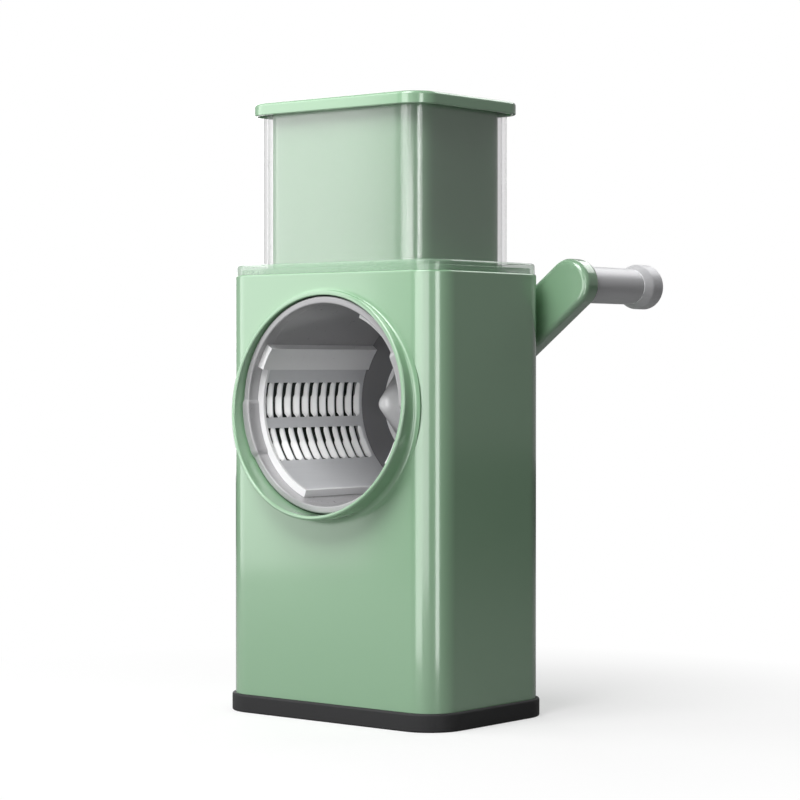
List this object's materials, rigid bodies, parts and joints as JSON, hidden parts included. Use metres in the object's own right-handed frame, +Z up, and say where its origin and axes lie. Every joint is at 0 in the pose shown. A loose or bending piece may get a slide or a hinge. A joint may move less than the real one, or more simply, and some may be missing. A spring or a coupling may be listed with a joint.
{
  "type": "rotary cabbage shredder",
  "caption": "Hand-cranked upright shredder: a slotted drum turned by a rear crank, fed from a clear top hopper with a pusher, with a slanted round front outlet.",
  "frame": {"origin": "centre of the underside of the base, on the table", "axes": "+Z up, -Y out of the outlet at the front, +Y towards the crank, +X to the right of the front"},
  "size_m": [0.1519, 0.1696, 0.2894],
  "materials": {
    "mint_plastic": "glossy moulded mint-green plastic",
    "black_rubber": "satin black non-slip rubber",
    "clear_plastic": "clear polished moulded plastic",
    "pale_plastic": "light grey moulded plastic",
    "blade_steel": "stamped stainless sheet, satin",
    "steel": "turned steel",
    "brass": "turned bearing bronze",
    "silver_plastic": "silver-grey satin grip"
  },
  "bodies": {
    "housing": {"body_shell": "mint_plastic", "drum_chamber": "mint_plastic", "outlet_collar": "mint_plastic", "base_plate": "pale_plastic", "base_pad": "black_rubber", "base_screws": "steel", "chamber_screws": "steel", "shaft_bush": "brass"},
    "hopper": {"hopper": "clear_plastic"},
    "pusher": {"pusher_cap": "mint_plastic", "pusher_block": "mint_plastic"},
    "crank": {"drive_shaft": "steel", "shaft_clip": "steel", "thrust_washer": "pale_plastic", "crank_arm": "mint_plastic", "crank_screw": "steel", "crank_plug": "mint_plastic", "grip_pin": "steel"},
    "grip": {"grip_sleeve": "silver_plastic", "grip_end_cap": "silver_plastic"},
    "drum": {"drum_barrel": "pale_plastic", "drum_front_ring": "pale_plastic", "blade_frame_a": "pale_plastic", "blade_frame_b": "pale_plastic", "blade_plate_a": "blade_steel", "blade_plate_b": "blade_steel", "drum_socket": "steel"}
  },
  "joints": [
    {"name": "hopper_lift", "type": "slide", "parent": "housing", "child": "hopper", "axis": [0, 0, 1], "range_m": [0, 0.05]},
    {"name": "pusher_slide", "type": "slide", "parent": "hopper", "child": "pusher", "axis": [0, 0, 1], "range_m": [0, 0.13]},
    {"name": "crank_turn", "type": "hinge", "parent": "housing", "child": "crank", "pos_m": [0, 0, 0.1468], "axis": [0, 1, 0], "continuous": true},
    {"name": "grip_turn", "type": "hinge", "parent": "crank", "child": "grip", "pos_m": [0.07248, 0.08, 0.20363], "axis": [0, 1, 0], "continuous": true},
    {"name": "drum_slide", "type": "slide", "parent": "crank", "child": "drum", "axis": [0, -1, 0], "range_m": [0, 0.1]}
  ]
}
